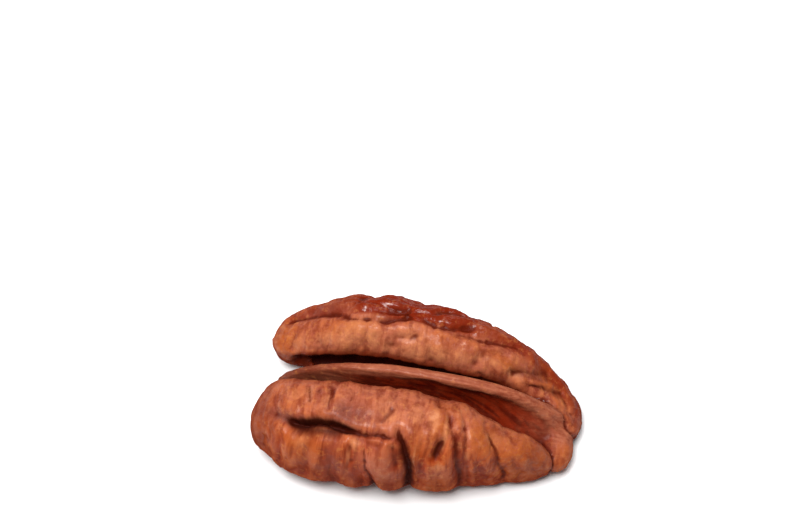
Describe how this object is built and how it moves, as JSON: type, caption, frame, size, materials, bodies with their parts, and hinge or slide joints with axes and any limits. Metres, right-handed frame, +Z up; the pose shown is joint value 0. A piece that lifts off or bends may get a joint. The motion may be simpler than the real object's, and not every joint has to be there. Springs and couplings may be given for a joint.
{
  "type": "shelled pecan half",
  "caption": "One shelled pecan half with two wrinkled lobes, a middle ridge between deep grooves, and a flat side to rest on.",
  "frame": {"origin": "under the middle of the kernel half's box, in the plane of the small flats that it rests on", "axes": "+X runs along the kernel half, from the tip to the stem end; +Z points up, out of the ridged outer side"},
  "size_m": [0.0318, 0.0192, 0.0106],
  "materials": {
    "kernel_skin": "thin reddish-brown seed skin, wrinkled, soft sheen on the rolls and matt in the grooves"
  },
  "bodies": {
    "root": {"pecan_half": "kernel_skin"}
  },
  "joints": []
}
